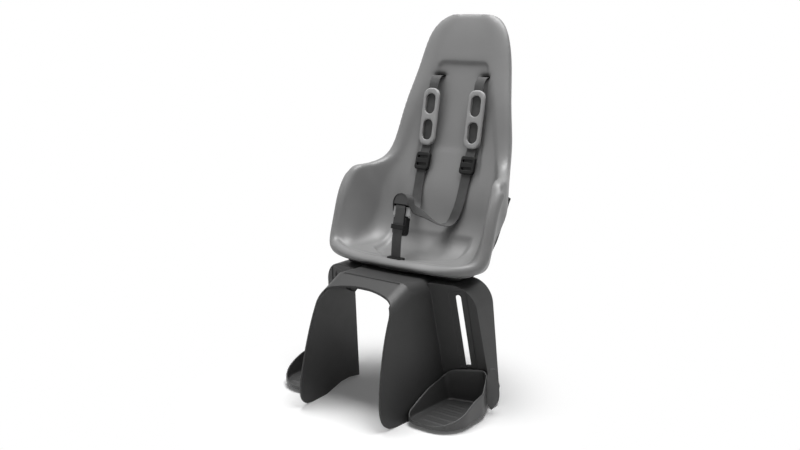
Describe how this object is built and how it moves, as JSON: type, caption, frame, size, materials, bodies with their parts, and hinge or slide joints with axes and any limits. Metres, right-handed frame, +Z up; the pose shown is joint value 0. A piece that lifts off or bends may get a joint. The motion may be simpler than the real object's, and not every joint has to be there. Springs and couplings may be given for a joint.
{
  "type": "child bike seat",
  "caption": "Bucket child seat for a rear bicycle carrier, with a high back, buckled harness, leg guard, sliding footrests and a carrier clamp.",
  "frame": {"origin": "on the floor under the middle of the whole seat's box, in its plane of symmetry", "axes": "+Z up, -Y the way the child faces, +X the child's left"},
  "size_m": [0.5062, 0.5084, 0.835],
  "materials": {
    "shell_grey": "satin moulded grey",
    "cradle_dark": "fine grained dark grey",
    "guard_dark": "fine grained dark grey",
    "foot_dark": "fine grained near black",
    "strap_rubber": "smooth rubber",
    "webbing": "woven nylon webbing",
    "pad_rubber": "matt light grey rubber",
    "buckle_dark": "satin black",
    "button_light": "satin light grey",
    "tongue_grey": "satin mid grey",
    "clamp_black": "satin black",
    "steel": "zinc plated"
  },
  "bodies": {
    "seat": {"seat_shell": "shell_grey", "base_cradle": "cradle_dark", "leg_guard": "guard_dark", "shoulder_webbing": "webbing", "shoulder_pad_left": "pad_rubber", "shoulder_pad_right": "pad_rubber", "strap_adjuster_left": "buckle_dark", "strap_adjuster_right": "buckle_dark", "harness_anchor_left": "buckle_dark", "harness_anchor_right": "buckle_dark", "crotch_strap": "webbing", "crotch_bezel": "buckle_dark", "crotch_anchor": "buckle_dark", "buckle_housing": "buckle_dark", "buckle_tongue": "tongue_grey", "clamp_housing": "clamp_black", "shell_screws": "steel", "clamp_bolts": "steel"},
    "footrest_left": {"footrest_left": "foot_dark", "footrest_lock_left": "foot_dark", "lock_screw_left": "steel", "foot_strap_left": "strap_rubber"},
    "footrest_right": {"footrest_right": "foot_dark", "footrest_lock_right": "foot_dark", "lock_screw_right": "steel", "foot_strap_right": "strap_rubber"},
    "release_left": {"buckle_button_left": "button_light"},
    "release_right": {"buckle_button_right": "button_light"},
    "clamp_screw": {"clamp_spindle": "steel", "clamp_knob": "clamp_black"},
    "jaw_left": {"clamp_jaw_left": "clamp_black"},
    "jaw_right": {"clamp_jaw_right": "clamp_black"}
  },
  "joints": [
    {"name": "footrest_left_slide", "type": "slide", "parent": "seat", "child": "footrest_left", "axis": [-0.0824, -0.1575, 0.9841], "range_m": [0, 0.14]},
    {"name": "footrest_right_slide", "type": "slide", "parent": "seat", "child": "footrest_right", "axis": [0.0824, -0.1575, 0.9841], "range_m": [0, 0.14]},
    {"name": "release_left_press", "type": "slide", "parent": "seat", "child": "release_left", "axis": [-1, 0, 0], "range_m": [0, 0.0024], "stiffness_N_per_m": 400},
    {"name": "release_right_press", "type": "slide", "parent": "seat", "child": "release_right", "axis": [1, 0, 0], "range_m": [0, 0.0024], "stiffness_N_per_m": 400},
    {"name": "clamp_turn", "type": "hinge", "parent": "seat", "child": "clamp_screw", "pos_m": [0, -0.1025, 0.252], "axis": [1, 0, 0], "range_deg": [0, 1260]},
    {"name": "jaw_left_slide", "type": "slide", "parent": "seat", "child": "jaw_left", "axis": [-1, 0, 0], "range_m": [0, 0.007]},
    {"name": "jaw_right_slide", "type": "slide", "parent": "seat", "child": "jaw_right", "axis": [1, 0, 0], "range_m": [0, 0.007]}
  ],
  "couplings": [
    {"joint": "clamp_turn", "follows": "jaw_left_slide", "rad_per_m": 3141.6},
    {"joint": "jaw_right_slide", "follows": "jaw_left_slide", "ratio": 1}
  ]
}
